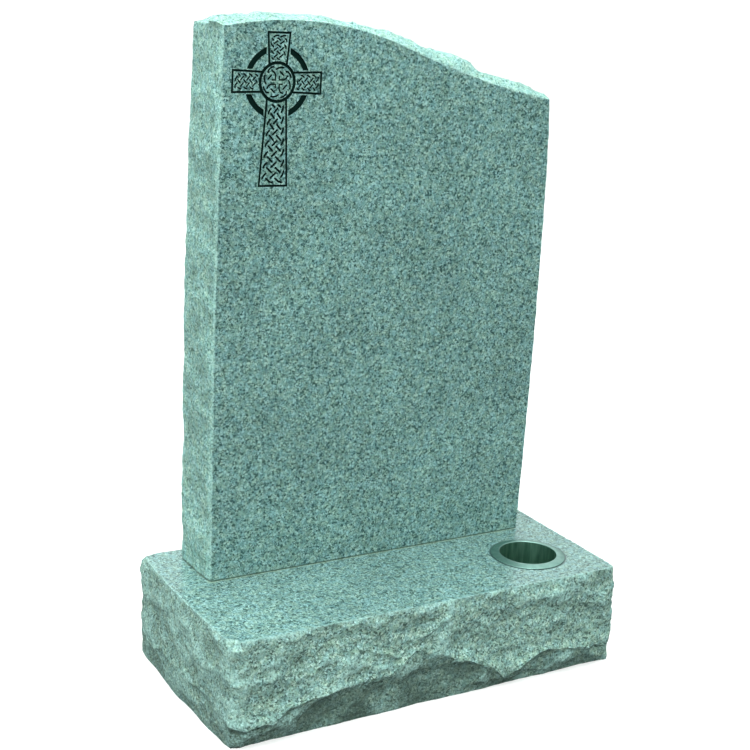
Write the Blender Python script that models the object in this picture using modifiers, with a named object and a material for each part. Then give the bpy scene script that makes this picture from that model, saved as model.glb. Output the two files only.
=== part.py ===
"""Granite headstone: a half-ogee tablet with an incised Celtic cross, on a rock-pitched base
that holds a spun metal flower container.

Metres, +Z up. The face looks along -Y, and the origin is at the middle of the base's underside.
"""
import math

import bmesh
import bpy
from mathutils import Matrix, Vector, noise

# The base, a granite block. The swells are how far its rock-pitched sides stand beyond the arris.
BASE_LENGTH = 0.734
BASE_DEPTH = 0.366
BASE_HEIGHT = 0.177
BASE_FRONT_SWELL = 0.016
BASE_SIDE_SWELL = 0.012
BASE_BACK_SWELL = 0.009
BASE_LEFT_BOW = 0.006
BASE_FOOT_SETBACK = 0.0025
BASE_ARRIS_CHIP = 0.002
BASE_CORNER_CHIP = 0.005
BASE_BROKEN_CORNER = 0.012

# The tablet, an upright slab with a half-ogee top
TABLET_WIDTH = 0.610
TABLET_THICKNESS = 0.111
TABLET_PEAK_HEIGHT = 0.900
TABLET_RIGHT_HEIGHT = 0.7815
TABLET_FROM_FRONT = 0.2196
PEAK_FROM_LEFT = 0.115
SHOULDER_RADIUS = 0.580
END_SLOPE_SHARE = 0.75
TABLET_LEFT_BOW = 0.003
TABLET_RIGHT_BOW = 0.0045
TABLET_RIGHT_FLARE = 0.0065
TABLET_RIGHT_INSET = 0.003
TABLET_ARRIS_CHIP = 0.0018
JOINT = 0.0003

# The cross, cut into the face and measured from the middle of its boss
CROSS_FROM_LEFT = 0.0915
CROSS_BELOW_PEAK = 0.0935
CROSS_TILT = math.radians(-0.8)
SHAFT_REACH = 0.1593
TOP_ARM_REACH = 0.073
SIDE_ARM_REACH = 0.0762
SHAFT_END_WIDTH = 0.050
TOP_ARM_END_WIDTH = 0.0388
SIDE_ARM_END_WIDTH = 0.034
SHAFT_ROOT_WIDTH = 0.035
ARM_ROOT_WIDTH = 0.031
WHEEL_OUTER_RADIUS = 0.054
WHEEL_INNER_RADIUS = 0.047
WHEEL_GAP = 0.0018
BOSS_RADIUS = 0.0298
BOSS_LINE = 0.0030
FRAME_LINE = 0.00225
FRAME_BORDER = 0.0020
KNOT_LINE = 0.0020
SHAFT_KNOT_PITCH = 0.0165
ARM_KNOT_PITCH = 0.0100
WHEEL_CUT = 0.0030
FRAME_CUT = 0.0025
KNOT_CUT = 0.0020
CUT_CLEAR = 0.0020

# The flower container, spun metal, and the blind hole that takes it
HOLE_FROM_RIGHT = 0.113
HOLE_FROM_FRONT = 0.108
HOLE_CLEARANCE = 0.003
HOLE_SPARE_DEPTH = 0.006
MOUTH_RADIUS = 0.0500
FOOT_RADIUS = 0.0475
FLANGE_RADIUS = 0.0656
FLANGE_RISE = 0.0040
RIM_THICKNESS = 0.0010
CONTAINER_DEPTH = 0.108
CONTAINER_WALL = 0.0015
FOOT_ROUNDING = 0.006
LIP_ROUNDING = 0.0011

FRONT_ARRIS = (BASE_FRONT_SWELL - BASE_DEPTH - BASE_BACK_SWELL) / 2
BACK_ARRIS = FRONT_ARRIS + BASE_DEPTH
FACE_Y = FRONT_ARRIS + TABLET_FROM_FRONT
TABLET_FOOT = BASE_HEIGHT + JOINT

# Ledges of the base's front, as shares of its length and of its height
UPPER_LEDGE = ((0.00, 0.62), (0.09, 0.60), (0.18, 0.60), (0.24, 0.74), (0.32, 0.70), (0.40, 0.55),
               (0.53, 0.86), (0.57, 0.53), (0.68, 0.75), (0.72, 0.56), (0.88, 0.56), (0.91, 0.68),
               (1.00, 0.68))
LOWER_LEDGE = ((0.00, 0.26), (0.03, 0.19), (0.09, 0.22), (0.13, 0.34), (0.28, 0.38), (0.38, 0.42),
               (0.445, 0.58), (0.57, 0.40), (0.64, 0.26), (0.69, 0.10), (0.80, 0.30), (0.90, 0.24),
               (1.00, 0.20))

# How far the tablet's pitched sides and top stand beyond the arris of the face, in metres, against
# shares of the height or of the width from the left
LEFT_SWELL = ((0.00, 0.0062), (0.28, 0.0058), (0.46, 0.0084), (0.67, 0.0056), (0.80, 0.0056),
              (0.88, 0.0030), (1.00, 0.0015))
RIGHT_SWELL = ((0.00, 0.0055), (0.90, 0.0055), (1.00, 0.0100))
TOP_SWELL = ((0.00, 0.0020), (0.11, 0.0028), (0.15, 0.0075), (0.26, 0.0045), (0.39, 0.0115),
             (0.55, 0.0165), (0.73, 0.0235), (0.77, 0.0155), (0.97, 0.0220), (1.00, 0.0120))

PARTS = "granite_headstone"
CUTTERS = "cutters"


def collection(name):
    group = bpy.data.collections.new(name)
    bpy.context.scene.collection.children.link(group)
    return group


def material(name, colour, roughness, metallic):
    finish = bpy.data.materials.new(name)
    finish.use_nodes = True
    shader = finish.node_tree.nodes["Principled BSDF"]
    shader.inputs["Base Color"].default_value = (*colour, 1)
    shader.inputs["Roughness"].default_value = roughness
    shader.inputs["Metallic"].default_value = metallic
    finish.diffuse_color = (*colour, 1)
    return finish


def place(mesh, name, group, finish):
    part = bpy.data.objects.new(name, mesh)
    part.data.materials.append(finish)
    bpy.data.collections[group].objects.link(part)
    return part


def mesh_of(bm, name):
    bmesh.ops.recalc_face_normals(bm, faces=bm.faces)
    mesh = bpy.data.meshes.new(name)
    bm.to_mesh(mesh)
    bm.free()
    return mesh


def between(points, share):
    """Height of a broken line at a share of its length."""
    for (left, low), (right, high) in zip(points, points[1:]):
        if share <= right:
            return low + (high - low) * (share - left) / (right - left)
    return points[-1][1]


def wander(*place_and_seed):
    """Smooth noise from -1 to 1, the same each time."""
    return noise.noise(Vector(place_and_seed))


def loft(sections, name):
    """Closes a stack of like rings of points with a cap at each end."""
    bm = bmesh.new()
    rings = [[bm.verts.new(point) for point in section] for section in sections]
    for lower, upper in zip(rings, rings[1:]):
        for k in range(len(lower)):
            after = (k + 1) % len(lower)
            bm.faces.new((lower[k], lower[after], upper[after], upper[k]))
    bm.faces.new(reversed(rings[0]))
    bm.faces.new(rings[-1])
    return mesh_of(bm, name)


def cut(part, cutter):
    tool = part.modifiers.new("cut " + cutter.name, "BOOLEAN")
    tool.operation = "DIFFERENCE"
    tool.solver = "EXACT"
    tool.object = cutter


def hide_cutter(cutter):
    cutter.hide_render = True
    cutter.display_type = "WIRE"
    return cutter


# The base: each side is pitched off with a wide chisel, which leaves two ragged ledges along it.

BASE_SIDES = (
    {"steps": 50, "swell": BASE_FRONT_SWELL, "bow": 0.0},
    {"steps": 16, "swell": BASE_SIDE_SWELL, "bow": 0.0},
    {"steps": 24, "swell": BASE_BACK_SWELL, "bow": 0.0},
    {"steps": 16, "swell": BASE_SIDE_SWELL, "bow": BASE_LEFT_BOW},
)


def ledge_heights(side, share):
    """Heights of the lower and the upper ledge at one point of a side."""
    if side == 0:
        return BASE_HEIGHT * between(LOWER_LEDGE, share), BASE_HEIGHT * between(UPPER_LEDGE, share)
    lower = 0.30 + 0.20 * wander(share * 5, side, 2.5)
    upper = 0.68 + 0.16 * wander(share * 6, side, 7.5)
    return BASE_HEIGHT * lower, BASE_HEIGHT * upper


def ledge_reach(side, share):
    """How far the lower and the upper ledge stand out, before they are set to the side's swell."""
    lower = 0.80 + 0.45 * wander(share * 8, side, 12.5)
    upper = 0.58 + 0.35 * wander(share * 9, side, 17.5)
    return lower, upper


def side_bow(side, share):
    return BASE_SIDES[side]["bow"] * math.sin(math.pi * share)


def ledge_scale(side, shares):
    """Sets a side's ledges so that the furthest of them stands out by just the side's swell."""
    swell = BASE_SIDES[side]["swell"]
    return min((swell - side_bow(side, share)) / max(ledge_reach(side, share)) for share in shares)


def ledge_profile(side, share, scale):
    """Heights and offsets up one line of a side, from the foot to the arris."""
    low, high = ledge_heights(side, share)
    lower, upper = (reach * scale for reach in ledge_reach(side, share))
    dip = 0.45 * min(lower, upper)
    ragged = 0.12 * scale * wander(share * 30, side, 23.5)
    chip = BASE_ARRIS_CHIP * (0.5 + 0.5 * wander(share * 22, side, 31.5))
    setback = BASE_FOOT_SETBACK * (1 - wander(share * 7, side, 43.5))
    rows = (
        (0, -setback),
        (0.45 * low, 0.28 * lower + ragged),
        (0.86 * low, 0.55 * lower - ragged),
        (low, lower),
        (low + 0.16 * (high - low), dip + 0.45 * (lower - dip)),
        (low + 0.50 * (high - low), dip + ragged),
        (low + 0.85 * (high - low), dip + 0.20 * (upper - dip)),
        (high, upper),
        (high + 0.14 * (BASE_HEIGHT - high), 0.62 * upper),
        (high + 0.42 * (BASE_HEIGHT - high), 0.36 * upper - ragged),
        (high + 0.80 * (BASE_HEIGHT - high), 0.12 * upper),
        (BASE_HEIGHT, -chip),
    )
    return [(height, offset + side_bow(side, share)) for height, offset in rows]


def corner_profile(side, scale, chip):
    """The same for a corner, where the swell dies away and the arris is knocked off."""
    profile = ledge_profile(side, 0, scale)
    worn = [(height, 0.35 * offset - 0.35 * chip) for height, offset in profile]
    worn[-1] = (BASE_HEIGHT, -chip)
    return worn


def base_sections():
    corners = [(-BASE_LENGTH / 2, FRONT_ARRIS), (BASE_LENGTH / 2, FRONT_ARRIS),
               (BASE_LENGTH / 2, BACK_ARRIS), (-BASE_LENGTH / 2, BACK_ARRIS)]
    columns = []
    for side, start in enumerate(corners):
        end = corners[(side + 1) % 4]
        steps = BASE_SIDES[side]["steps"]
        shares = [step / steps for step in range(1, steps)]
        scale = ledge_scale(side, shares)
        along = Vector((end[0] - start[0], end[1] - start[1])).normalized()
        outward = Vector((along.y, -along.x))
        chip = BASE_BROKEN_CORNER if side == 0 else BASE_CORNER_CHIP
        columns.append((Vector(start), outward - along, corner_profile(side, scale, chip)))
        for share in shares:
            foot = Vector(start).lerp(Vector(end), share)
            columns.append((foot, outward, ledge_profile(side, share, scale)))
    rows = len(columns[0][2])
    return [[(foot.x + way.x * profile[row][1], foot.y + way.y * profile[row][1], profile[row][0])
             for foot, way, profile in columns] for row in range(rows)]


def hole_centre():
    return Vector((BASE_LENGTH / 2 - HOLE_FROM_RIGHT, FRONT_ARRIS + HOLE_FROM_FRONT, BASE_HEIGHT))


def build_base():
    granite = material("base granite", (0.300, 0.430, 0.395), 0.45, 0)
    base = place(loft(base_sections(), "base"), "base", PARTS, granite)
    depth = CONTAINER_DEPTH + HOLE_SPARE_DEPTH
    bm = bmesh.new()
    radius = MOUTH_RADIUS + CONTAINER_WALL + HOLE_CLEARANCE
    bmesh.ops.create_cone(bm, cap_ends=True, segments=40, radius1=radius, radius2=radius,
                          depth=depth + CUT_CLEAR)
    drill = place(mesh_of(bm, "hole"), "hole_cutter", CUTTERS, granite)
    drill.location = hole_centre() + Vector((0, 0, (CUT_CLEAR - depth) / 2))
    cut(base, hide_cutter(drill))


# The tablet: its face and back are flat, its two sides and its top are pitched.


def ogee_join(fall, run, end_slope):
    """Slope where the round shoulder turns into the hollow, found by halving."""
    low, high = 0.0, math.radians(60)
    for _ in range(50):
        slope = (low + high) / 2
        drop = fall - SHOULDER_RADIUS * (1 - math.cos(slope))
        left = run - SHOULDER_RADIUS * math.sin(slope)
        if drop > left * math.tan((slope + end_slope) / 2):
            low = slope
        else:
            high = slope
    return slope


def half_ogee(steps):
    """Height of the top above the tablet's foot, as points from the right corner to the left one."""
    left_x, right_x = -TABLET_WIDTH / 2, TABLET_WIDTH / 2 - TABLET_RIGHT_INSET
    peak_x = left_x + PEAK_FROM_LEFT
    fall = TABLET_PEAK_HEIGHT - TABLET_RIGHT_HEIGHT
    run = right_x - peak_x
    end_slope = END_SLOPE_SHARE * math.atan2(fall, run)
    join = ogee_join(fall, run, end_slope)
    join_x = peak_x + SHOULDER_RADIUS * math.sin(join)
    join_z = TABLET_PEAK_HEIGHT - SHOULDER_RADIUS * (1 - math.cos(join))
    hollow = (right_x - join_x) / (math.sin(join) - math.sin(end_slope))
    points = []
    for step in range(steps + 1):
        x = right_x + (left_x - right_x) * step / steps
        if x > join_x:
            slope = math.asin(math.sin(join) - (x - join_x) / hollow)
            z = join_z - hollow * (math.cos(slope) - math.cos(join))
        else:
            z = TABLET_PEAK_HEIGHT - SHOULDER_RADIUS + math.sqrt(SHOULDER_RADIUS ** 2 - (x - peak_x) ** 2)
        points.append((x, z))
    return points


SIDE_STEPS = 34
TOP_STEPS = 34
SIDE, TOP = 0, 1


def tablet_outline():
    """Points round the face with their outward ways and swells, anticlockwise from the bottom left."""
    top = half_ogee(TOP_STEPS)
    (right_x, right_z), (left_x, left_z) = top[0], top[-1]
    points, swells = [], []
    for step in range(SIDE_STEPS):
        share = step / SIDE_STEPS
        bow = TABLET_RIGHT_BOW * math.sin(math.pi * share) + TABLET_RIGHT_FLARE * (1 - share ** 12)
        points.append((right_x + bow, right_z * share))
        swells.append((between(RIGHT_SWELL, share), SIDE))
    for x, z in top:
        points.append((x, z))
        swells.append((between(TOP_SWELL, (x - left_x) / (right_x - left_x)), TOP))
    for step in range(1, SIDE_STEPS + 1):
        share = 1 - step / SIDE_STEPS
        points.append((left_x - TABLET_LEFT_BOW * math.sin(math.pi * share), left_z * share))
        swells.append((between(LEFT_SWELL, share), SIDE))
    ways = []
    for k, (x, z) in enumerate(points):
        (x0, z0), (x1, z1) = points[max(k - 1, 0)], points[min(k + 1, len(points) - 1)]
        way = Vector((z1 - z0, x0 - x1)).normalized()
        ways.append(Vector((math.copysign(1, x), 0)) if z == 0 else way)
    return points, ways, swells


# Rows across the tablet's thickness: share of the way back, shares of the swell of a side and of the
# top, and share of the chips
TABLET_ROWS = ((0.00, (0.00, 0.00), 0.6), (0.10, (0.50, 0.42), 0.5), (0.32, (0.80, 0.80), 0.6),
               (0.65, (1.00, 1.00), 0.7), (0.88, (1.00, 0.72), 0.8), (1.00, (0.90, 0.20), 1.2))


def tablet_sections():
    points, ways, swells = tablet_outline()
    sections = []
    for row, (back, rise_shares, chips) in enumerate(TABLET_ROWS):
        section = []
        for (x, z), way, (swell, edge) in zip(points, ways, swells):
            rise = rise_shares[edge] * swell * (1 + 0.2 * wander(x * 12, z * 12, row * 0.6))
            fall = chips * TABLET_ARRIS_CHIP * (1 + wander(x * 38, z * 38, 40 + row * 1.7))
            offset = rise - fall
            section.append((x + way.x * offset, FACE_Y + TABLET_THICKNESS * back,
                            TABLET_FOOT + z + way.y * offset))
        sections.append(section)
    return sections


# The cross: every groove is a closed outline on the face, with the boss at (0, 0) and +Y up.


def stroke(points, width):
    """Closed outline of a line of one width with pointed ends."""
    left, right = [], []
    for k, point in enumerate(points):
        way = (points[min(k + 1, len(points) - 1)] - points[max(k - 1, 0)]).normalized()
        across = Vector((-way.y, way.x)) * width / 2
        if k in (0, len(points) - 1):
            point = point - way * width * (0.4 if k else -0.4)
        left.append(point + across)
        right.append(point - across)
    first = points[0]
    last = points[-1]
    return [first] + right + [last] + left[::-1]


def arc(radius, start, end, steps):
    turns = [start + (end - start) * step / steps for step in range(steps + 1)]
    return [Vector((radius * math.cos(turn), radius * math.sin(turn))) for turn in turns]


def turned(points, angle):
    return [Matrix.Rotation(angle, 2) @ point for point in points]


ARMS = (
    {"turn": -math.pi / 2, "reach": SHAFT_REACH, "root": SHAFT_ROOT_WIDTH, "end": SHAFT_END_WIDTH,
     "pitch": SHAFT_KNOT_PITCH, "lean": -1, "phase": 1},
    {"turn": 0.0, "reach": SIDE_ARM_REACH, "root": ARM_ROOT_WIDTH, "end": SIDE_ARM_END_WIDTH,
     "pitch": ARM_KNOT_PITCH, "lean": -1, "phase": 0},
    {"turn": math.pi / 2, "reach": TOP_ARM_REACH, "root": ARM_ROOT_WIDTH, "end": TOP_ARM_END_WIDTH,
     "pitch": ARM_KNOT_PITCH, "lean": 1, "phase": 0},
    {"turn": math.pi, "reach": SIDE_ARM_REACH, "root": ARM_ROOT_WIDTH, "end": SIDE_ARM_END_WIDTH,
     "pitch": ARM_KNOT_PITCH, "lean": -1, "phase": 0},
)


def arm_half_width(arm, along):
    share = (along - BOSS_RADIUS) / (arm["reach"] - BOSS_RADIUS)
    return (arm["root"] + (arm["end"] - arm["root"]) * share) / 2


def frame_outline(arm):
    """The line round an arm, open at the boss."""
    root = BOSS_RADIUS - BOSS_LINE / 2
    outer = [Vector((root, -arm_half_width(arm, root))), Vector((arm["reach"], -arm["end"] / 2)),
             Vector((arm["reach"], arm["end"] / 2)), Vector((root, arm_half_width(arm, root)))]
    inner_reach = arm["reach"] - FRAME_LINE
    inner_root = arm_half_width(arm, root) - FRAME_LINE
    inner_end = arm_half_width(arm, inner_reach) - FRAME_LINE
    inner = [Vector((root, inner_root)), Vector((inner_reach, inner_end)),
             Vector((inner_reach, -inner_end)), Vector((root, -inner_root))]
    return turned(outer + inner, arm["turn"])


def knot_strokes(arm):
    """Dark gaps of a plait: each follows the strand that lies over its neighbours there."""
    inset = FRAME_LINE + FRAME_BORDER + KNOT_LINE / 2
    start, end = BOSS_RADIUS + FRAME_BORDER + KNOT_LINE / 2, arm["reach"] - inset
    step = arm["pitch"] / 2
    last = round((end - start) / step)
    outlines = []
    for row in range(last + 1):
        full = (row + arm["phase"]) % 2 == 0
        lean = arm["lean"] if full else -arm["lean"]
        span = (start, end if row == last else end - 1.6 * KNOT_LINE)
        for column in (-1, 0, 1) if full else (-0.5, 0.5):
            outlines.append(knot_stroke(arm, span, start + row * step, column, lean, inset))
    return [turned(outline, arm["turn"]) for outline in outlines if outline]


def knot_stroke(arm, span, middle, column, lean, inset):
    points = []
    for share in (-0.58, 0, 0.58):
        along = min(max(middle + share * arm["pitch"] / 2, span[0]), span[1])
        room = arm_half_width(arm, along) - inset
        across = room * (0.84 * column + 0.42 * share * lean)
        points.append(Vector((along, min(max(across, -room), room))))
    reach = (points[-1] - points[0]).length
    near = min(point.length for point in points)
    if reach < 2 * KNOT_LINE or near < BOSS_RADIUS + KNOT_LINE:
        return None
    return stroke(points, KNOT_LINE)


def wheel_outlines():
    """Four quarters of the wheel, cut off square to the arms a small gap away from them."""
    outlines = []
    for before, after in zip(ARMS, ARMS[1:] + ARMS[:1]):
        near = arm_half_width(before, WHEEL_OUTER_RADIUS) + WHEEL_GAP
        far = arm_half_width(after, WHEEL_OUTER_RADIUS) + WHEEL_GAP
        outer = arc(WHEEL_OUTER_RADIUS, math.asin(near / WHEEL_OUTER_RADIUS),
                    math.pi / 2 - math.asin(far / WHEEL_OUTER_RADIUS), 10)
        inner = arc(WHEEL_INNER_RADIUS, math.asin(near / WHEEL_INNER_RADIUS),
                    math.pi / 2 - math.asin(far / WHEEL_INNER_RADIUS), 10)
        outlines.append(turned(outer + inner[::-1], before["turn"]))
    return outlines


def boss_strokes():
    """A small cross in relief, made by four hooks, with strands looped round it."""
    r = BOSS_RADIUS
    hook = [(0.10, 0.32), (0.10, 0.11), (0.33, 0.11), (0.48, 0.19), (0.55, 0.35)]
    bar = [(0.10, 0.53), (0.24, 0.41), (0.36, 0.30)]
    loop = [(-0.12, 0.58), (0.02, 0.67), (0.20, 0.71), (0.36, 0.68)]
    tail = [(0.40, 0.52), (0.56, 0.50), (0.68, 0.38), (0.75, 0.20)]
    outlines = []
    for quarter in range(4):
        for line in (hook, bar, loop, tail):
            points = [Vector((x * r, y * r)) for x, y in line]
            outlines.append(turned(stroke(points, KNOT_LINE * 0.9), quarter * math.pi / 2))
    return outlines


def groove_cutter(name, outlines, depth, finish):
    """Extrudes closed outlines through the face and turns them into one mesh."""
    curve = bpy.data.curves.new(name, "CURVE")
    curve.dimensions = "2D"
    curve.fill_mode = "BOTH"
    curve.extrude = (depth + CUT_CLEAR) / 2
    for outline in outlines:
        spline = curve.splines.new("POLY")
        spline.points.add(len(outline) - 1)
        for point, corner in zip(spline.points, outline):
            point.co = (corner.x, corner.y, 0, 1)
        spline.use_cyclic_u = True
    flat = bpy.data.objects.new(name + "_outline", curve)
    bpy.data.collections[CUTTERS].objects.link(flat)
    flat.matrix_world = (
        Matrix.Translation((CROSS_FROM_LEFT - TABLET_WIDTH / 2, FACE_Y + (depth - CUT_CLEAR) / 2,
                            TABLET_FOOT + TABLET_PEAK_HEIGHT - CROSS_BELOW_PEAK))
        @ Matrix.Rotation(math.pi / 2, 4, "X") @ Matrix.Rotation(CROSS_TILT, 4, "Z"))
    bpy.context.view_layer.update()
    mesh = bpy.data.meshes.new_from_object(flat.evaluated_get(bpy.context.evaluated_depsgraph_get()))
    bm = bmesh.new()
    bm.from_mesh(mesh)
    bmesh.ops.remove_doubles(bm, verts=bm.verts, dist=0.00001)
    bm.to_mesh(mesh)
    bm.free()
    cutter = place(mesh, name, CUTTERS, finish)
    cutter.matrix_world = flat.matrix_world
    bpy.data.objects.remove(flat)
    return hide_cutter(cutter)


def build_tablet():
    granite = material("tablet granite", (0.225, 0.330, 0.305), 0.40, 0)
    tablet = place(loft(tablet_sections(), "tablet"), "tablet", PARTS, granite)
    boss_ring = [arc(radius, 0, math.tau * 35 / 36, 35)
                 for radius in (BOSS_RADIUS, BOSS_RADIUS - BOSS_LINE)]
    wheel = groove_cutter("wheel_cutter", wheel_outlines() + boss_ring, WHEEL_CUT, granite)
    frames = groove_cutter("frame_cutter", [frame_outline(arm) for arm in ARMS], FRAME_CUT, granite)
    knots = [outline for arm in ARMS for outline in knot_strokes(arm)] + boss_strokes()
    knotwork = groove_cutter("knotwork_cutter", knots, KNOT_CUT, granite)
    for cutter in (wheel, frames, knotwork):
        cut(tablet, cutter)


# The flower container: one turned profile, closed at the foot, with a domed flange at the mouth.


QUARTER_TURN = (0.0, math.pi / 4, math.pi / 2)


def container_profile():
    """Half section from the middle of the floor, up the inside, over the flange and down the outside."""
    floor = CONTAINER_WALL - CONTAINER_DEPTH
    inside = [(0, floor)]
    for turn in QUARTER_TURN:
        inside.append((FOOT_RADIUS - FOOT_ROUNDING * (1 - math.sin(turn)),
                       floor + FOOT_ROUNDING * (1 - math.cos(turn))))
    crest = MOUTH_RADIUS + LIP_ROUNDING
    lip = [(MOUTH_RADIUS, FLANGE_RISE - LIP_ROUNDING), (crest, FLANGE_RISE)]
    top, under = [], []
    for share in (0.3, 0.55, 0.8):
        radius = crest + (FLANGE_RADIUS - crest) * share
        drop = (FLANGE_RISE - RIM_THICKNESS - JOINT) * (1 - math.cos(math.pi / 2 * share))
        height = FLANGE_RISE - drop
        top.append((radius, height))
        under.append((radius, max(height - CONTAINER_WALL, JOINT)))
    rim = [(FLANGE_RADIUS, RIM_THICKNESS / 2 + JOINT), (FLANGE_RADIUS - RIM_THICKNESS / 2, JOINT)]
    outer = MOUTH_RADIUS + CONTAINER_WALL
    outside = [(outer, FLANGE_RISE - 2 * CONTAINER_WALL)]
    rounding = FOOT_ROUNDING + CONTAINER_WALL
    for turn in reversed(QUARTER_TURN):
        outside.append((FOOT_RADIUS + CONTAINER_WALL - rounding * (1 - math.sin(turn)),
                        rounding * (1 - math.cos(turn)) - CONTAINER_DEPTH))
    return inside + lip + top + rim + under[:2][::-1] + outside + [(0, -CONTAINER_DEPTH)]


def build_container():
    steel = material("container metal", (0.500, 0.560, 0.530), 0.30, 1)
    bm = bmesh.new()
    verts = [bm.verts.new((radius, 0, height)) for radius, height in container_profile()]
    for start, end in zip(verts, verts[1:]):
        bm.edges.new((start, end))
    mesh = bpy.data.meshes.new("flower_container")
    bm.to_mesh(mesh)
    bm.free()
    container = place(mesh, "flower_container", PARTS, steel)
    container.location = hole_centre()
    spin = container.modifiers.new("turn", "SCREW")
    spin.steps = 32
    spin.render_steps = spin.steps
    spin.use_merge_vertices = True
    spin.merge_threshold = 0.0001
    spin.use_smooth_shade = True


for old in list(bpy.data.objects):
    bpy.data.objects.remove(old)
collection(PARTS)
collection(CUTTERS)
build_base()
build_tablet()
build_container()
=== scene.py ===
"""Granite headstone with a Celtic cross and a flower container, dressed over its fixed CAD frame.

Metres, +Z up. The face looks along -Y, and the origin is at the middle of the base's underside.
"""
import math

import bmesh
import bpy
from mathutils import Matrix, Vector, noise


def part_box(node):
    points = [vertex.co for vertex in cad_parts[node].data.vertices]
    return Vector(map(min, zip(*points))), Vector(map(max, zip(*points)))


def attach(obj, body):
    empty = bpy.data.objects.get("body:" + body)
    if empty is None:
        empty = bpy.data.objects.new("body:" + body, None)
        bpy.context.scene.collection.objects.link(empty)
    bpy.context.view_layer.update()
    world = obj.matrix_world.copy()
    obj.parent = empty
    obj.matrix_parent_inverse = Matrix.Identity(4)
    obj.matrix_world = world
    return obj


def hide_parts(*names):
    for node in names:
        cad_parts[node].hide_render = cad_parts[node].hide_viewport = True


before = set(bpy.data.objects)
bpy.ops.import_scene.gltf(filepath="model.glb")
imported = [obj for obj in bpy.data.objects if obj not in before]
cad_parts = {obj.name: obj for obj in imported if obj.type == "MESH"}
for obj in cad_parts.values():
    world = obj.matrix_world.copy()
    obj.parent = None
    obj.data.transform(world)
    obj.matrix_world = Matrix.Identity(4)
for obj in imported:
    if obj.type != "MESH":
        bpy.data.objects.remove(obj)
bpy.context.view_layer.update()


# The setting: a plain pale floor and soft studio light, strongest from above, with the camera to
# the left of the face and a little above it, looking down. It isn't part of the object.
CAMERA_AT = (-1.21284, -1.96624, 1.16758)
CAMERA_LENS, CAMERA_TURN, CAMERA_DOWN, CAMERA_ROLL = 69.64, -30.886, 15.893, 3.150
LAMP_TINT, DOME_TINT, WHITE = (0.92, 1.0, 0.98), (0.91, 1.0, 0.98, 1), (1, 1, 1, 1)
DOME_AT_HORIZON, DOME_OVERHEAD = 0.25, 1.75
FLOOR_RADIUS, FLOOR_SHADE, FLOOR_SEEN = 150, (0.12, 0.12, 0.12, 1), (1.0, 0.93, 0.94, 1)

camera = bpy.data.objects.new("camera", bpy.data.cameras.new("camera"))
bpy.context.scene.collection.objects.link(camera)
camera.data.sensor_width = 36
camera.data.lens = CAMERA_LENS
camera.data.clip_end = 500
camera.matrix_world = (Matrix.Translation(CAMERA_AT)
                       @ Matrix.Rotation(math.radians(CAMERA_TURN), 4, "Z")
                       @ Matrix.Rotation(math.radians(90 - CAMERA_DOWN), 4, "X")
                       @ Matrix.Rotation(math.radians(CAMERA_ROLL), 4, "Z"))
bpy.context.scene.camera = camera
bpy.context.scene.view_settings.view_transform = "Standard"


def softbox(name, place, aim, width, height, power):
    """A rectangular lamp that the camera doesn't see itself."""
    lamp = bpy.data.lights.new(name, "AREA")
    lamp.shape = "RECTANGLE"
    lamp.size, lamp.size_y, lamp.energy, lamp.color = width, height, power, LAMP_TINT
    box = bpy.data.objects.new(name, lamp)
    bpy.context.scene.collection.objects.link(box)
    box.location = place
    box.rotation_euler = (Vector(aim) - Vector(place)).to_track_quat("-Z", "Y").to_euler()
    box.visible_camera = False


def feed(tree, node, values):
    """Sets each named input of a node, or links it where the value is another node's socket."""
    for name, value in values.items():
        if isinstance(value, bpy.types.NodeSocket):
            tree.links.new(value, node.inputs[name])
        else:
            node.inputs[name].default_value = value


def add(tree, kind, values=None, **settings):
    """Adds a shader node with its settings and inputs, and gives back its outputs."""
    node = tree.nodes.new(kind)
    for name, value in settings.items():
        setattr(node, name, value)
    feed(tree, node, values or {})
    return node.outputs


def lay_over(tree, mask, under, over):
    """One colour laid over another where the mask says so."""
    return add(tree, "ShaderNodeMix", {0: mask, 6: under, 7: over}, data_type="RGBA")[2]


def spread(tree, mask, low, high):
    """Turns a mask from 0 to 1 into a value between low and high."""
    return add(tree, "ShaderNodeMapRange", {"Value": mask, "To Min": low, "To Max": high})[0]


def new_finish(name):
    """A new material, with its nodes and its shader."""
    finish = bpy.data.materials.new(name)
    finish.use_nodes = True
    return finish, finish.node_tree, finish.node_tree.nodes["Principled BSDF"]


def settle(bm, name):
    """Turns what was built in bm into a mesh."""
    mesh = bpy.data.meshes.new(name)
    bm.to_mesh(mesh)
    bm.free()
    return mesh


def set_down(name, mesh, finishes):
    """Puts a mesh into the scene under its name, with its finishes."""
    piece = bpy.data.objects.new(name, mesh)
    bpy.context.scene.collection.objects.link(piece)
    for finish in finishes:
        mesh.materials.append(finish)
    return piece


softbox("overhead softbox", (-0.7, 0.5, 3.4), (0, 0, 0.5), 3.2, 2.6, 60)
softbox("left softbox", (-3.4, 0.4, 1.8), (0, 0, 0.5), 2.4, 2.4, 40)
softbox("front softbox", (-1.1, -2.6, 3.0), (0, 0, 0.5), 1.4, 1.0, 100)
softbox("rear softbox", (1.2, 3.8, 1.7), (0, 0, 0.6), 5.0, 2.4, 17)

# The dome lights the stone by height, and the camera itself sees plain white behind the floor
dome = bpy.data.worlds.new("soft dome of light, strongest overhead")
dome.use_nodes = True
tree = dome.node_tree
rise = add(tree, "ShaderNodeSeparateXYZ", {0: add(tree, "ShaderNodeTexCoord")["Generated"]})["Z"]
seen = add(tree, "ShaderNodeLightPath")["Is Camera Ray"]
feed(tree, tree.nodes["Background"], {
    "Color": lay_over(tree, seen, DOME_TINT, WHITE),
    "Strength": spread(tree, seen, spread(tree, rise, DOME_AT_HORIZON, DOME_OVERHEAD), 1.0)})
bpy.context.scene.world = dome

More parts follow.
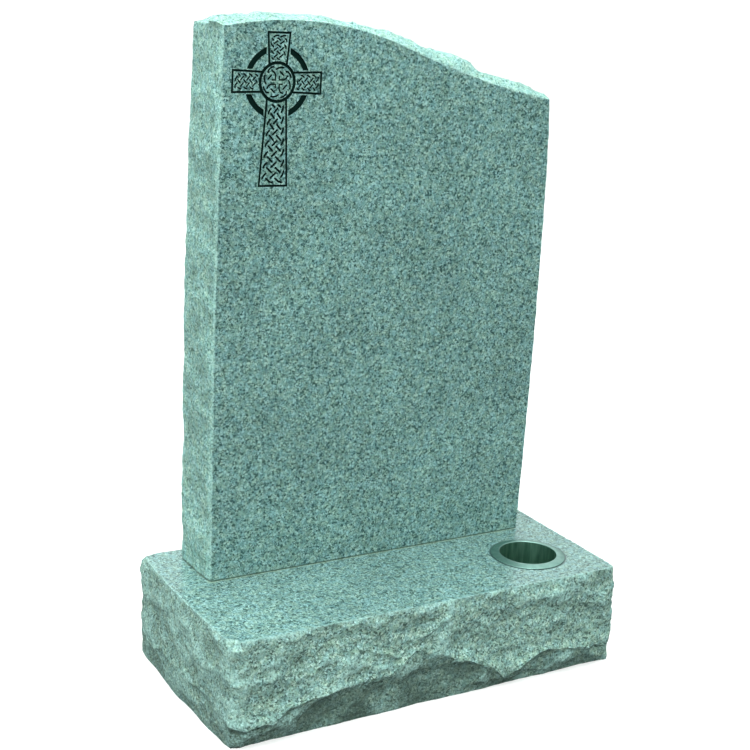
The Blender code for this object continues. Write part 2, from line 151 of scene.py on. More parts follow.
disc = bmesh.new()
bmesh.ops.create_circle(disc, cap_ends=True, segments=96, radius=FLOOR_RADIUS)
pale, tree, shader = new_finish("pale floor")
seen = add(tree, "ShaderNodeLightPath")["Is Camera Ray"]
feed(tree, shader, {"Base Color": lay_over(tree, seen, FLOOR_SHADE, FLOOR_SEEN), "Roughness": 0.9})
set_down("floor", settle(disc, "floor"), [pale])


# The base is one block of fine-grained grey-green granite. Its top is polished, and a blind hole
# is drilled in it. Its four sides are pitched off with a wide chisel, which leaves two ragged
# ledges along them, dishes of split stone between and a pale bruise along the arris.
BASE_LENGTH, BASE_DEPTH, BASE_HEIGHT = 0.734, 0.366, 0.177
FRONT_SWELL, SIDE_SWELL, BACK_SWELL, LEFT_BOW = 0.016, 0.012, 0.009, 0.006
FOOT_SETBACK, ARRIS_CHIP, CORNER_CHIP, BROKEN_CORNER = 0.0025, 0.002, 0.005, 0.012
FRONT_ARRIS = (FRONT_SWELL - BASE_DEPTH - BACK_SWELL) / 2
BACK_ARRIS = FRONT_ARRIS + BASE_DEPTH
HOLE_FROM_RIGHT, HOLE_FROM_FRONT = 0.113, 0.108
HOLE_RADIUS, HOLE_DEPTH, DRILL_CLEAR = 0.0545, 0.114, 0.002
HOLE_AT = Vector((BASE_LENGTH / 2 - HOLE_FROM_RIGHT, FRONT_ARRIS + HOLE_FROM_FRONT, BASE_HEIGHT))
# The front's ledges: (share along it, share up it). UPPER_EASE draws parts of the upper one in
UPPER_LEDGE = ((0.00, 0.62), (0.09, 0.60), (0.18, 0.60), (0.24, 0.74), (0.32, 0.70), (0.40, 0.55),
               (0.53, 0.86), (0.57, 0.53), (0.68, 0.75), (0.72, 0.56), (0.88, 0.56), (0.91, 0.68),
               (1.00, 0.68))
LOWER_LEDGE = ((0.00, 0.26), (0.03, 0.19), (0.09, 0.22), (0.13, 0.34), (0.28, 0.38), (0.38, 0.42),
               (0.445, 0.58), (0.57, 0.40), (0.64, 0.26), (0.69, 0.10), (0.80, 0.30), (0.90, 0.24),
               (1.00, 0.20))
UPPER_EASE = ((0.00, 0.45), (0.25, 0.40), (0.40, 0.90), (0.55, 0.70), (0.68, 0.40), (0.90, 0.40),
              (1.00, 0.70))
# Scoops in the front: (middle along it, middle up it, half width, half height, depth)
SCOOPS = ((0.66, 0.56, 0.140, 0.40, 0.0065), (0.44, 0.78, 0.085, 0.28, 0.0045),
          (0.24, 0.80, 0.110, 0.26, 0.0035), (0.88, 0.52, 0.095, 0.36, 0.0055),
          (0.50, 0.22, 0.110, 0.26, 0.0070), (0.74, 0.20, 0.110, 0.24, 0.0060),
          (0.28, 0.18, 0.090, 0.20, 0.0040))
# The sides in turn: the way each faces, its steps for the ledges and for the mesh, its swell and
# bow, the depth of its chisel shells, its darkening (even all over it, and painted shade with soil
# along its foot) and its scoops
SIDES = (
    {"way": Vector((0, -1)), "coarse": 50, "fine": 300, "swell": FRONT_SWELL, "bow": 0.0,
     "shell": 0.0095, "darkening": (0.02, 0.90), "scoops": SCOOPS},
    {"way": Vector((1, 0)), "coarse": 16, "fine": 112, "swell": SIDE_SWELL, "bow": 0.0,
     "shell": 0.010, "darkening": (0.10, 0.40), "scoops": ()},
    {"way": Vector((0, 1)), "coarse": 24, "fine": 192, "swell": BACK_SWELL, "bow": 0.0,
     "shell": 0.009, "darkening": (0.10, 0.40), "scoops": ()},
    {"way": Vector((-1, 0)), "coarse": 16, "fine": 112, "swell": SIDE_SWELL, "bow": LEFT_BOW,
     "shell": 0.006, "darkening": (0.30, 0.10), "scoops": ()},
)
CORNERS = (Vector((-BASE_LENGTH / 2, FRONT_ARRIS)), Vector((BASE_LENGTH / 2, FRONT_ARRIS)),
           Vector((BASE_LENGTH / 2, BACK_ARRIS)), Vector((-BASE_LENGTH / 2, BACK_ARRIS)))
# Rows of mesh in each band of the ledges' profile, and the bands over which the painted shade along
# the foot dies away
STRIPS, FOOT_SHADE_TOP, FOOT_SHADE_FADE = 6, 3.3, 1.6
# Chisel shells: (size, share of the full depth, seed), and the heights of the rest of the relief
SHELL_SIZES = ((0.036, 1.0, 0), (0.014, 0.38, 3), (0.006, 0.12, 5))
GRIT_HEIGHT, LUMP_HEIGHT, NICK_DEPTH = 0.0004, 0.0042, 0.0018
# How pale the arris and the rows next to it are bruised, the same for the rings on the polished
# top, with how far in each lies, the most that a ridge is made pale (partly bruise, partly painted
# highlight) and the most painted shade in a hollow
ARRIS_BRUISE, ROLL_IN = (0.40, 0.36, 0.28, 0.15), ((0.0016, 0.28), (0.0050, 0.0))
MOST_RIDGE_BRUISE_AND_HIGHLIGHT, MOST_HOLLOW_SHADE = 0.34, 0.7
# The tablet's footprint on the top, and the marks there: a painted shadow round the container's
# flange and a line of pale compound round the tablet, each as (full as far as, gone at, strength,
# colour)
TABLET_WIDTH, TABLET_THICKNESS, FACE_SETBACK = 0.610, 0.111, 0.2196
FLANGE_SHADOW = (0.0668, 0.0690, 0.85, (0.020, 0.045, 0.045, 1))
COMPOUND = (0.0020, 0.0045, 0.45, (0.27, 0.38, 0.27, 1))


def ramp(tree, value, low, high):
    """Turns a value between low and high into a mask from 0 to 1."""
    return add(tree, "ShaderNodeMapRange", {"Value": value, "From Min": low, "From Max": high})[0]


def mottle(tree, place, scale, detail):
    """Cloudy noise, with its scale in lumps to the metre."""
    return add(tree, "ShaderNodeTexNoise",
               {"Vector": place, "Scale": scale, "Detail": detail})["Fac"]


def reckon(tree, operation, *values, **settings):
    """One step of arithmetic."""
    return add(tree, "ShaderNodeMath", dict(enumerate(values)), operation=operation, **settings)[0]


def move(tree, operation, *values):
    """One step of arithmetic on places or colours."""
    return add(tree, "ShaderNodeVectorMath", dict(enumerate(values)), operation=operation)[0]


# Fine granite: interlocked grains of ground, dark mica and pale feldspar, with a few large flecks,
# drifting in tint, darkened where it is given painted shade and darkening, and pale where it is
# bruised and where it is given a painted highlight
SHAKE_SCALE, SHAKE_REACH, CRUMBS_TO_A_GRAIN, FLECK_SCALE = 420.0, 0.003, 1.8, 90.0
CLOUD_SCALE, DRIFT_SCALE, CLOUD_DARK, CLOUD_LIGHT = 26.0, 7.0, 0.87, 1.13
BLOTCH_SCALE, COOL_TINT, WARM_TINT = 95.0, (0.95, 0.99, 1.06, 1), (1.10, 1.01, 0.93, 1)
BRUISE_SCALE, BRUISE_STARTS, BRUISE_FULL, SHADE_AND_DARKENING_STRENGTH = 300.0, 0.72, 1.15, 0.5

fine_granite = tree = bpy.data.node_groups.new("fine granite", "ShaderNodeTree")
for name, kind, value in (("Ground", "NodeSocketColor", (0.20, 0.31, 0.285, 1)),
                          ("Dark Grain", "NodeSocketColor", (0.05, 0.10, 0.09, 1)),
                          ("Pale Grain", "NodeSocketColor", (0.36, 0.50, 0.47, 1)),
                          ("Bruised", "NodeSocketColor", (0.44, 0.70, 0.65, 1)),
                          ("Shade And Darkening Colour", "NodeSocketColor", (0.045, 0.080, 0.060, 1)),
                          ("Grain Size", "NodeSocketFloat", 0.0031),
                          ("Bruise And Highlight", "NodeSocketFloat", 0.0),
                          ("Painted Shade And Darkening", "NodeSocketFloat", 0.0)):
    tree.interface.new_socket(name, in_out="INPUT", socket_type=kind).default_value = value
tree.interface.new_socket("Colour", in_out="OUTPUT", socket_type="NodeSocketColor")
tree.interface.new_socket("Crystals", in_out="OUTPUT", socket_type="NodeSocketFloat")
take = add(tree, "NodeGroupInput")
here = add(tree, "ShaderNodeTexCoord")["Object"]
shake = add(tree, "ShaderNodeTexNoise",
            {"Vector": here, "Scale": SHAKE_SCALE, "Detail": 2.0})["Color"]
shake = move(tree, "SUBTRACT", shake, (0.5, 0.5, 0.5))
bent = move(tree, "MULTIPLY_ADD", shake, (SHAKE_REACH, SHAKE_REACH, SHAKE_REACH), here)
per_metre = reckon(tree, "DIVIDE", 1.0, take["Grain Size"])
finer = reckon(tree, "MULTIPLY", per_metre, CRUMBS_TO_A_GRAIN)
grains, crumbs, flecks = [add(tree, "ShaderNodeTexVoronoi", {"Vector": bent, "Scale": scale})
                          for scale in (per_metre, finer, FLECK_SCALE)]
grain, crumb, fleck = [add(tree, "ShaderNodeSeparateColor", {"Color": cells["Color"]})
                       for cells in (grains, crumbs, flecks)]
# Each cell has random values. The ones past the first number turn pale or dark, fully at the second
stone = take["Ground"]
for chance, starts, full, colour in ((grain["Green"], 0.58, 0.90, "Pale Grain"),
                                     (crumb["Green"], 0.62, 1.10, "Pale Grain"),
                                     (crumb["Red"], 0.42, -0.04, "Dark Grain"),
                                     (grain["Red"], 0.34, 0.04, "Dark Grain")):
    stone = lay_over(tree, ramp(tree, chance, starts, full), stone, take[colour])
spot = reckon(tree, "MULTIPLY", ramp(tree, flecks["Distance"], 0.26, 0.14),
              ramp(tree, fleck["Red"], 0.10, 0.07))
stone = lay_over(tree, spot, stone, take["Dark Grain"])
cloud = reckon(tree, "ADD", mottle(tree, here, CLOUD_SCALE, 4.0),
               mottle(tree, here, DRIFT_SCALE, 2.0))
cloud = spread(tree, ramp(tree, cloud, 0.7, 1.3), CLOUD_DARK, CLOUD_LIGHT)
stone = add(tree, "ShaderNodeVectorMath", {0: stone, 3: cloud}, operation="SCALE")[0]
blotch = ramp(tree, mottle(tree, here, BLOTCH_SCALE, 3.0), 0.36, 0.64)
stone = move(tree, "MULTIPLY", stone, lay_over(tree, blotch, COOL_TINT, WARM_TINT))
# Painted shade in hollows and under ledges, with the even darkening, turns the stone towards a dark
# colour
shaded_and_darkened = reckon(tree, "MULTIPLY", take["Painted Shade And Darkening"], SHADE_AND_DARKENING_STRENGTH, use_clamp=True)
stone = lay_over(tree, shaded_and_darkened, stone, take["Shade And Darkening Colour"])
# Pale bruises, and pale ridges as a painted highlight
ragged = reckon(tree, "ADD", take["Bruise And Highlight"], mottle(tree, here, BRUISE_SCALE, 3.0))
stone = lay_over(tree, ramp(tree, ragged, BRUISE_STARTS, BRUISE_FULL), stone, take["Bruised"])
crystals = reckon(tree, "ADD", grain["Blue"], crumb["Blue"])
feed(tree, tree.nodes.new("NodeGroupOutput"), {"Colour": stone, "Crystals": crystals})


def granite(name, ground, dark, pale_grain, roughness, rough_spread, relief, chips=0.0):
    """A finish of the granite: its grain colours, roughness, and how far grains and chips rise."""
    finish, tree, shader = new_finish(name)
    wear_and_highlight = add(tree, "ShaderNodeAttribute", attribute_name="wear_and_highlight")["Fac"]
    hollow = add(tree, "ShaderNodeAttribute", attribute_name="hollow")["Fac"]
    grit = tree.nodes.new("ShaderNodeGroup")
    grit.node_tree = fine_granite
    feed(tree, grit, {"Ground": (*ground, 1), "Dark Grain": (*dark, 1),
                      "Pale Grain": (*pale_grain, 1), "Bruise And Highlight": wear_and_highlight, "Painted Shade And Darkening": hollow})
    crystals = grit.outputs["Crystals"]
    rough = add(tree, "ShaderNodeMapRange", {"Value": crystals, "From Max": 2.0,
                                             "To Min": roughness - rough_spread,
                                             "To Max": roughness + rough_spread})[0]
    rough = reckon(tree, "MULTIPLY_ADD", wear_and_highlight, 0.5, rough, use_clamp=True)
    bump = add(tree, "ShaderNodeBump", {"Height": crystals, "Strength": 1.0,
                                        "Distance": relief})["Normal"]
    if chips:
        here = add(tree, "ShaderNodeTexCoord")["Object"]
        chipped = add(tree, "ShaderNodeTexNoise", {"Vector": here, "Scale": 130.0, "Detail": 5.0,
                                                   "Roughness": 0.65})["Fac"]
        bump = add(tree, "ShaderNodeBump", {"Height": chipped, "Strength": 1.0, "Distance": chips,
                                            "Normal": bump})["Normal"]
    feed(tree, shader, {"Base Color": grit.outputs["Colour"], "Roughness": rough, "Normal": bump})
    return finish


polished_base = granite("polished base granite", ground=(0.150, 0.282, 0.262),
                        dark=(0.033, 0.078, 0.072), pale_grain=(0.29, 0.475, 0.45),
                        roughness=0.24, rough_spread=0.04, relief=0.000012)
pitched_base = granite("pitched base granite", ground=(0.230, 0.405, 0.348),
                       dark=(0.055, 0.110, 0.092), pale_grain=(0.44, 0.66, 0.60),
                       roughness=0.85, rough_spread=0.10, relief=0.0004, chips=0.0035)

tree = polished_base.node_tree
shader = tree.nodes["Principled BSDF"]
stone = shader.inputs["Base Color"].links[0].from_socket
here = add(tree, "ShaderNodeTexCoord")["Object"]
middle = (0, FRONT_ARRIS + FACE_SETBACK + TABLET_THICKNESS / 2, 0)
from_middle = move(tree, "ABSOLUTE", move(tree, "SUBTRACT", here, middle))
from_middle = add(tree, "ShaderNodeSeparateXYZ", {0: from_middle})
from_tablet = reckon(tree, "MAXIMUM",
                     reckon(tree, "SUBTRACT", from_middle["X"], TABLET_WIDTH / 2),
                     reckon(tree, "SUBTRACT", from_middle["Y"], TABLET_THICKNESS / 2))
from_hole = add(tree, "ShaderNodeVectorMath", {0: here, 1: HOLE_AT}, operation="DISTANCE")[1]
# The pale compound round the tablet, and the painted shadow round the container's flange
for away, (full, gone, strength, colour) in ((from_tablet, COMPOUND), (from_hole, FLANGE_SHADOW)):
    mark = reckon(tree, "MULTIPLY", ramp(tree, away, gone, full), strength)
    stone = lay_over(tree, mark, stone, colour)
feed(tree, shader, {"Base Color": stone})


def held(value, least, most):
    """The value, kept between two limits."""
    return min(max(value, least), most)


def between(points, share):
    """Height of a broken line at a share of its length."""
    for (left, low), (right, high) in zip(points, points[1:]):
        if share <= right:
            return low + (high - low) * (share - left) / (right - left)
    return points[-1][1]


def wander(*place_and_seed):
    """Smooth noise from -1 to 1, the same each time."""
    return noise.noise(Vector(place_and_seed))


def ledge_reach(side, share):
    """How far the lower and the upper ledge stand out, before they are set to the side's swell."""
    return 0.80 + 0.45 * wander(share * 8, side, 12.5), 0.58 + 0.35 * wander(share * 9, side, 17.5)


def ledge_profile(side, share, scale):
    """Heights and offsets up one line of a side, from the foot to the arris."""
    if side == 0:
        low, high = between(LOWER_LEDGE, share), between(UPPER_LEDGE, share)
    else:
        low = 0.30 + 0.20 * wander(share * 5, side, 2.5)
        high = 0.68 + 0.16 * wander(share * 6, side, 7.5)
    low, high = low * BASE_HEIGHT, high * BASE_HEIGHT
    lower, upper = (reach * scale for reach in ledge_reach(side, share))
    dip = 0.45 * min(lower, upper)
    if side == 0:
        upper *= between(UPPER_EASE, share)
    ragged = 0.12 * scale * wander(share * 30, side, 23.5)
    chip = ARRIS_CHIP * (0.5 + 0.5 * wander(share * 22, side, 31.5))
    setback = FOOT_SETBACK * (1 - wander(share * 7, side, 43.5))
    rows = (
        (0, -setback),
        (0.45 * low, 0.28 * lower + ragged),
        (0.86 * low, 0.55 * lower - ragged),
        (low, lower),
        (low + 0.16 * (high - low), dip + 0.45 * (lower - dip)),
        (low + 0.50 * (high - low), dip + ragged),
        (low + 0.85 * (high - low), dip + 0.20 * (upper - dip)),
        (high, upper),
        (high + 0.14 * (BASE_HEIGHT - high), 0.62 * upper),
        (high + 0.42 * (BASE_HEIGHT - high), 0.36 * upper - ragged),
        (high + 0.80 * (BASE_HEIGHT - high), 0.12 * upper),
        (BASE_HEIGHT, -chip),
    )
    bow = SIDES[side]["bow"] * math.sin(math.pi * share)
    return [(height, offset + bow) for height, offset in rows]


# noise_vector has an offset that would differ from run to run without a seed
noise.seed_set(1)


def shells(place, seed):
    """Overlapping hollow shells with sharp ridges between, as a wide chisel strikes them off."""
    gaps, middles = noise.voronoi(place + Vector((seed, seed, seed)))
    steps = [gap * gap + 0.3 * noise.cell(middle * 9.1) for gap, middle in zip(gaps, middles)]
    return min(steps) - 0.2


def split_stone(point, shell, seed):
    """How far a point of split stone stands out: shells of three sizes, with grit all over."""
    bend = noise.noise_vector(point * 20 + Vector((seed, 0, 0))) * 0.006
    place = Vector((point.x * 0.7, point.y * 0.7, point.z)) + bend
    struck = sum(part * shells(place / size, seed + extra) for size, part, extra in SHELL_SIZES)
    return shell * struck + GRIT_HEIGHT * noise.noise(point * 300 + Vector((0, 0, seed)))


def bruise_at(rows_away, bruises):
    """How bruised the stone is so many rows from its arris."""
    return bruises[rows_away] if rows_away < len(bruises) else 0.0


def into_box(point, low, high):
    """Keeps a point inside its CAD solid's box."""
    return Vector([held(value, least, most) for value, least, most in zip(point, low, high)])


def skin(name, rings, finishes):
    """Closes a stack of rings of (point, wear and highlight, painted shade and darkening) and gives
    each band its finish.
    """
    bm = bmesh.new()
    wear_and_highlight_layer, shade_and_darkening_layer = (bm.verts.layers.float.new(layer) for layer in ("wear_and_highlight", "hollow"))
    rows = []
    for ring in rings:
        rows.append([])
        for point, wear_and_highlight, hollow in ring:
            vert = bm.verts.new(point)
            vert[wear_and_highlight_layer], vert[shade_and_darkening_layer] = wear_and_highlight, hollow
            rows[-1].append(vert)
    for lower, upper, finish in zip(rows, rows[1:], finishes):
        for k in range(len(lower)):
            after = (k + 1) % len(lower)
            face = bm.faces.new((lower[k], lower[after], upper[after], upper[k]))
            face.material_index = finish
    bm.faces.new(reversed(rows[0])).material_index = finishes[0]
    bm.faces.new(rows[-1]).material_index = finishes[-1]
    bmesh.ops.recalc_face_normals(bm, faces=bm.faces)
    return settle(bm, name)


def carve(piece, cutters):
    """Cuts the piece with each cutter, keeps the result as its mesh and takes the cutters away."""
    for cutter in cutters:
        tool = piece.modifiers.new("cut", "BOOLEAN")
        tool.operation, tool.solver, tool.object = "DIFFERENCE", "EXACT", cutter
        tool.material_mode = "TRANSFER"
    bpy.context.view_layer.update()
    evaluated = piece.evaluated_get(bpy.context.evaluated_depsgraph_get())
    cut = bpy.data.meshes.new_from_object(evaluated)
    piece.modifiers.clear()
    piece.data = cut
    for cutter in cutters:
        bpy.data.objects.remove(cutter)
    cut.shade_smooth()
    cut.set_sharp_from_angle(angle=math.radians(42))


# The scale of each side's ledges, which brings the furthest of them out to the side's swell
scales = []
for number, side in enumerate(SIDES):
    shares = [step / side["coarse"] for step in range(1, side["coarse"])]
    scales.append(min((side["swell"] - side["bow"] * math.sin(math.pi * share))
                      / max(ledge_reach(number, share)) for share in shares))
# The four corners are knocked off: for each, the way out and the line up it
knocked = []
for number, corner in enumerate(CORNERS):
    chip = BROKEN_CORNER if number == 0 else CORNER_CHIP
    line = [(height, 0.35 * offset - 0.35 * chip)
            for height, offset in ledge_profile(number, 0, scales[number])][:-1]
    line.append((BASE_HEIGHT, -chip))
    out = SIDES[number]["way"] + SIDES[number - 1]["way"]
    knocked.append((out, [Vector((*(corner + out * offset), height)) for height, offset in line]))
columns = []
for number, side in enumerate(SIDES):
    edge = 1 / side["coarse"]
    for step in range(side["fine"]):
        share = step / side["fine"]
        near = held(share, edge, 1 - edge)
        foot = CORNERS[number].lerp(CORNERS[(number + 1) % 4], near)
        line = [Vector((*(foot + side["way"] * offset), height))
                for height, offset in ledge_profile(number, near, scales[number])]
        way = side["way"]
        if share < edge or share > 1 - edge:
            out, worn_line = knocked[number if share < edge else (number + 1) % 4]
            pull = 1 - min(share, 1 - share) / edge
            line = [point.lerp(other, pull) for point, other in zip(line, worn_line)]
            way = way.lerp(out, pull).normalized()
        columns.append((line, way, side, share))

base_low, base_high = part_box("base")
arris_row = (len(columns[0][0]) - 1) * STRIPS
rings = []
for row in range(arris_row + 1):
    fade = min(1.0, (arris_row - row) / 5) * min(1.0, 0.35 + row / 8)
    low_down = held((FOOT_SHADE_TOP * STRIPS - row) / (FOOT_SHADE_FADE * STRIPS), 0, 1)
    bruise = bruise_at(arris_row - row, ARRIS_BRUISE)
    ring = []
    for line, way, side, share in columns:
        first = min(row // STRIPS, len(line) - 2)
        point = line[first].lerp(line[first + 1], row / STRIPS - first)
        struck = relief = split_stone(point, side["shell"], 3.0)
        along_side = share + 0.020 * wander(*(point * 25))
        up_side = point.z / BASE_HEIGHT + 0.07 * wander(*(point * 22))
        for along, up, half_width, half_height, depth in side["scoops"]:
            rim = ((along_side - along) / half_width) ** 2 + ((up_side - up) / half_height) ** 2
            relief -= depth * max(0.0, 1 - rim)
        relief *= fade
        nick = NICK_DEPTH * wander(*(point * 90)) if row == arris_row else 0
        point = point + Vector((*(way * (relief + nick)), 0))
        if 0 < row < arris_row:
            point.z += LUMP_HEIGHT * fade * wander(*(point * 38))
        # An even darkening all over the side, and painted shade with soil along its foot, under the
        # lower ledge
        all_over, foot_shade_and_soil = side["darkening"]
        foot_shade_and_soil *= low_down * (1 + 1.2 * wander(*(point * 14)))
        # Painted shade in the hollows of the split stone, on top of that darkening
        hollow = held(-0.2 - 1.1 * struck / side["shell"], 0, MOST_HOLLOW_SHADE) * fade + foot_shade_and_soil + all_over
        # Ridges are made pale: partly bruise, partly a painted highlight
        ridge_bruise_and_highlight = held(1.5 * relief / side["shell"], 0, MOST_RIDGE_BRUISE_AND_HIGHLIGHT)
        ring.append((into_box(point, base_low, base_high), max(bruise, ridge_bruise_and_highlight), hollow))
    rings.append(ring)
arris = [point for point, _, _ in rings[arris_row]]
for inset, bruise in ROLL_IN:
    ring = []
    for point, (_, way, _, _) in zip(arris, columns):
        drawn = way * inset * (1 + 0.5 * wander(*(point * 60)))
        ring.append((point - Vector((*drawn, 0)), bruise, 0))
    rings.append(ring)
base = set_down("granite_base", skin("granite_base", rings, [1] * arris_row + [0, 0]),
                [polished_base, pitched_base])
bm = bmesh.new()
bmesh.ops.create_cone(bm, cap_ends=True, segments=96, radius1=HOLE_RADIUS, radius2=HOLE_RADIUS,
                      depth=HOLE_DEPTH + DRILL_CLEAR)
drill = set_down("drill", settle(bm, "drill"), [pitched_base])
drill.location = HOLE_AT + Vector((0, 0, (DRILL_CLEAR - HOLE_DEPTH) / 2))
carve(base, [drill])
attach(base, "root")
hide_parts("base")


# The tablet is an upright slab of the same granite, set on the base with a thin bed of compound.
# Its face and back are polished; its sides and its half-ogee top are pitched, so that they swell
# out beyond the arris of the face to a ragged crest.
PEAK_HEIGHT, RIGHT_HEIGHT, PEAK_FROM_LEFT, JOINT = 0.900, 0.7815, 0.115, 0.0003
SHOULDER_RADIUS, END_SLOPE_SHARE = 0.580, 0.75
TABLET_LEFT_BOW, TABLET_RIGHT_BOW = 0.003, 0.0045
TABLET_RIGHT_FLARE, TABLET_RIGHT_INSET = 0.0065, 0.003
FACE_Y, TABLET_FOOT = FRONT_ARRIS + FACE_SETBACK, BASE_HEIGHT + JOINT
# How far the pitched stone swells out: (share along the side or the top, swell)
LEFT_SWELL = ((0.00, 0.0062), (0.28, 0.0058), (0.46, 0.0084), (0.67, 0.0056), (0.80, 0.0056),
              (0.88, 0.0030), (1.00, 0.0015))
RIGHT_SWELL = ((0.00, 0.0055), (0.90, 0.0055), (1.00, 0.0100))
TOP_SWELL = ((0.00, 0.0020), (0.11, 0.0028), (0.15, 0.0075), (0.26, 0.0045), (0.39, 0.0115),
             (0.55, 0.0165), (0.73, 0.0235), (0.77, 0.0155), (0.97, 0.0220), (1.00, 0.0120))
# From the face to the back, as (share of the thickness, value): the share of the swell on the
# sides and on the top, the share of the arris chips, and the rows that the chips are drawn for
SIDE_RISE = ((0.00, 0.00), (0.10, 0.50), (0.32, 0.80), (0.65, 1.00), (0.88, 1.00), (1.00, 0.90))
TOP_RISE = ((0.00, 0.00), (0.10, 0.42), (0.32, 0.80), (0.65, 1.00), (0.88, 0.72), (1.00, 0.20))
CHIPS = ((0.00, 0.6), (0.10, 0.5), (0.32, 0.6), (0.65, 0.7), (0.88, 0.8), (1.00, 1.2))
ROW_OF_BACK = ((0.00, 0), (0.10, 1), (0.32, 2), (0.65, 3), (0.88, 4), (1.00, 5))
SIDE_STEPS, TOP_STEPS, BACK_STEPS = 170, 170, 30
TABLET_ARRIS_CHIP, TABLET_NICK, TOP_SHELL, SIDE_SHELL = 0.0018, 0.0006, 0.010, 0.005
# The tablet's foot is darkened most, a dark line along the joint
TABLET_ARRIS_BRUISE, TOP_BRUISE, FOOT_LINE_DARKENING = (0.35, 0.32, 0.25, 0.15), 0.27, 2
# Rings on the flat of the face and the back: (how far in, how bruised, how dark at the foot)
FLAT_RINGS = ((0.0012, 0.22, 1.6), (0.0030, 0.0, 0.0))

polished_tablet = granite("polished tablet granite", ground=(0.148, 0.292, 0.268),
                          dark=(0.030, 0.076, 0.071), pale_grain=(0.30, 0.49, 0.46),
                          roughness=0.18, rough_spread=0.04, relief=0.000012)
pitched_tablet = granite("pitched tablet granite", ground=(0.26, 0.49, 0.43),
                         dark=(0.085, 0.19, 0.165), pale_grain=(0.44, 0.68, 0.63),
                         roughness=0.85, rough_spread=0.10, relief=0.0004, chips=0.0020)


def half_ogee():
    """Points of the top above the tablet's foot, from the right corner to the left one."""
    left_x, right_x = -TABLET_WIDTH / 2, TABLET_WIDTH / 2 - TABLET_RIGHT_INSET
    peak_x = left_x + PEAK_FROM_LEFT
    fall, run = PEAK_HEIGHT - RIGHT_HEIGHT, right_x - peak_x
    end_slope = END_SLOPE_SHARE * math.atan2(fall, run)
    low, high = 0.0, math.radians(60)
    for _ in range(50):
        join = (low + high) / 2
        drop = fall - SHOULDER_RADIUS * (1 - math.cos(join))
        left = run - SHOULDER_RADIUS * math.sin(join)
        short = drop > left * math.tan((join + end_slope) / 2)
        low, high = (join, high) if short else (low, join)
    join_x = peak_x + SHOULDER_RADIUS * math.sin(join)
    join_z = PEAK_HEIGHT - SHOULDER_RADIUS * (1 - math.cos(join))
    hollow = (right_x - join_x) / (math.sin(join) - math.sin(end_slope))
    points = []
    for step in range(TOP_STEPS + 1):
        x = right_x + (left_x - right_x) * step / TOP_STEPS
        if x > join_x:
            slope = math.asin(math.sin(join) - (x - join_x) / hollow)
            z = join_z - hollow * (math.cos(slope) - math.cos(join))
        else:
            z = PEAK_HEIGHT - SHOULDER_RADIUS + math.sqrt(SHOULDER_RADIUS ** 2 - (x - peak_x) ** 2)
        points.append((x, z))
    return points


top = half_ogee()
(right_x, right_z), (left_x, left_z) = top[0], top[-1]
outline = []
for step in range(SIDE_STEPS):
    share = step / SIDE_STEPS
    bow = TABLET_RIGHT_BOW * math.sin(math.pi * share) + TABLET_RIGHT_FLARE * (1 - share ** 12)
    outline.append((right_x + bow, right_z * share, between(RIGHT_SWELL, share), SIDE_RISE))
for x, z in top:
    outline.append((x, z, between(TOP_SWELL, (x - left_x) / (right_x - left_x)), TOP_RISE))
for step in range(1, SIDE_STEPS + 1):
    share = 1 - step / SIDE_STEPS
    outline.append((left_x - TABLET_LEFT_BOW * math.sin(math.pi * share), left_z * share,
                    between(LEFT_SWELL, share), SIDE_RISE))
ways = []
for k, (x, z, _, _) in enumerate(outline):
    before, after = outline[max(k - 3, 0)], outline[min(k + 3, len(outline) - 1)]
    way = Vector((after[1] - before[1], before[0] - after[0])).normalized()
    ways.append(Vector((math.copysign(1, x), 0)) if z == 0 else way)

tablet_low, tablet_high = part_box("tablet")
rings = []
for step in range(BACK_STEPS + 1):
    back = step / BACK_STEPS
    row = between(ROW_OF_BACK, back)
    bruise = bruise_at(min(step, BACK_STEPS - step), TABLET_ARRIS_BRUISE)
    ring = []
    for (x, z, swell, rise), way in zip(outline, ways):
        on_top = rise is TOP_RISE
        shift = 0.10 * wander(x * 16, z * 16, 70.5) * math.sin(math.pi * back) if on_top else 0
        lift = between(rise, back + shift) * swell * (1 + 0.2 * wander(x * 12, z * 12, row * 0.6))
        chip = TABLET_ARRIS_CHIP * (1 + wander(x * 38, z * 38, 40 + row * 1.7))
        out = lift - between(CHIPS, back) * chip
        point = Vector((x + way.x * out, FACE_Y + TABLET_THICKNESS * back,
                        TABLET_FOOT + z + way.y * out))
        fade = min(1.0, step / 3, (BACK_STEPS - step) / 2) * min(1.0, 0.3 + z / 0.02)
        shell = TOP_SHELL if on_top else SIDE_SHELL
        relief = split_stone(point, shell, 9.0) * fade
        nick = TABLET_NICK * wander(*(point * 190)) if step in (0, BACK_STEPS) else 0
        point = point + Vector((way.x, 0, way.y)) * (relief + nick)
        wear_and_highlight = max(bruise, TOP_BRUISE) if on_top else bruise
        # Painted shade in the hollows of the split stone, and the foot darkened most, along the
        # joint
        hollow = held(0.1 - relief / shell, 0, 1)
        if z == 0:
            point.z, wear_and_highlight, hollow = TABLET_FOOT, 0, FOOT_LINE_DARKENING
        ring.append((into_box(point, tablet_low, tablet_high), wear_and_highlight, hollow))
    rings.append(ring)


def drawn_in(ring, inset, wear_and_highlight, darkening):
    """The ring moved in on the flat of the face or the back, with the foot's corners darkened along
    the joint.
    """
    inner = [[point - Vector((way.x, 0, way.y)) * inset, wear_and_highlight, 0]
             for (point, _, _), way in zip(ring, ways)]
    for corner in (inner[0], inner[-1]):
        corner[0].z, corner[1], corner[2] = TABLET_FOOT + inset, 0, darkening
    return inner


front, back = rings[0], rings[-1]
for inset, wear_and_highlight, darkening in FLAT_RINGS:
    rings = [drawn_in(front, inset, wear_and_highlight, darkening)] + rings + [drawn_in(back, inset, wear_and_highlight, darkening)]
tablet = set_down("tablet_stone",
                  skin("tablet_stone", rings, [0, 0] + [1] * BACK_STEPS + [0, 0]),
                  [polished_tablet, pitched_tablet])

